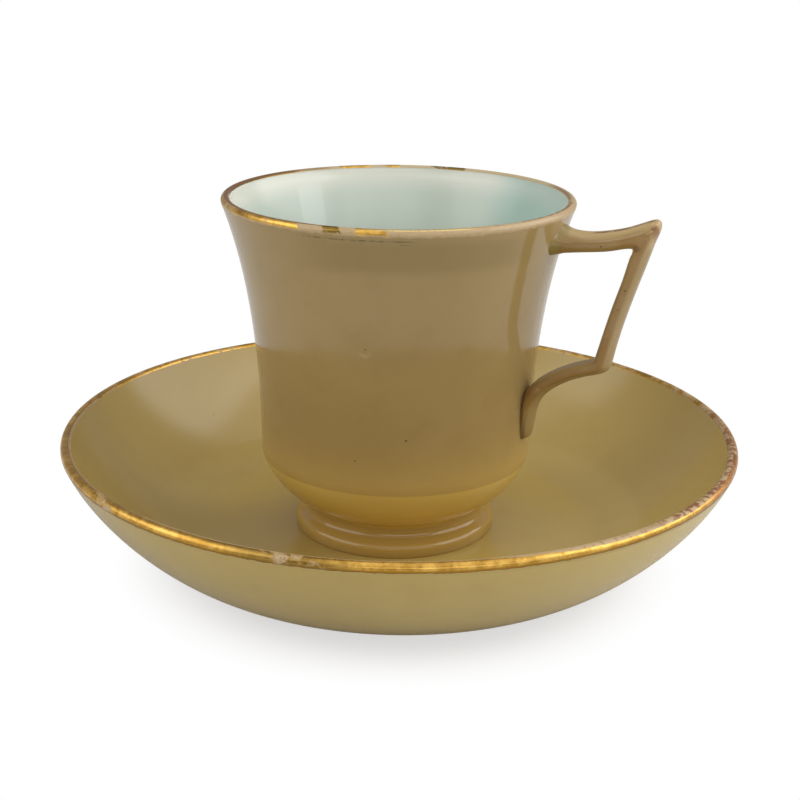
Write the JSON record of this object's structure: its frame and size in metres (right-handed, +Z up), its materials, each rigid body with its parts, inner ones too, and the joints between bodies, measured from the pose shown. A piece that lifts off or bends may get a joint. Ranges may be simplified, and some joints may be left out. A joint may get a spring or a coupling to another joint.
{
  "type": "cup and saucer",
  "caption": "Small flared coffee cup with an angular strap handle and a spurred tip, on a deep round saucer with a foot ring; glazed inside and out, both lips gilded.",
  "frame": {"origin": "middle of the saucer's foot ring, on the table", "axes": "+Z up out of the cup; +X towards the side where the handle is; -Y towards the viewer of the picture; the handle is turned 22.5 degrees from +X towards -Y"},
  "size_m": [0.135, 0.135, 0.0747],
  "materials": {
    "saucer_glaze": "glossy",
    "cup_glaze": "glossy",
    "lining_glaze": "glossy",
    "slip": "glossy",
    "gilding": "burnished, worn"
  },
  "bodies": {
    "saucer": {"saucer_dish": "saucer_glaze", "saucer_foot_ring": "saucer_glaze", "saucer_rim_gilding": "gilding"},
    "cup": {"cup_body": "cup_glaze", "cup_lining": "lining_glaze", "cup_foot": "cup_glaze", "cup_rim_gilding": "gilding", "cup_handle": "cup_glaze", "handle_upper_seam": "slip", "handle_lower_seam": "slip"}
  },
  "joints": [
    {"name": "cup_lift", "type": "slide", "parent": "saucer", "child": "cup", "axis": [0, 0, 1], "range_m": [0, 0.06]}
  ]
}
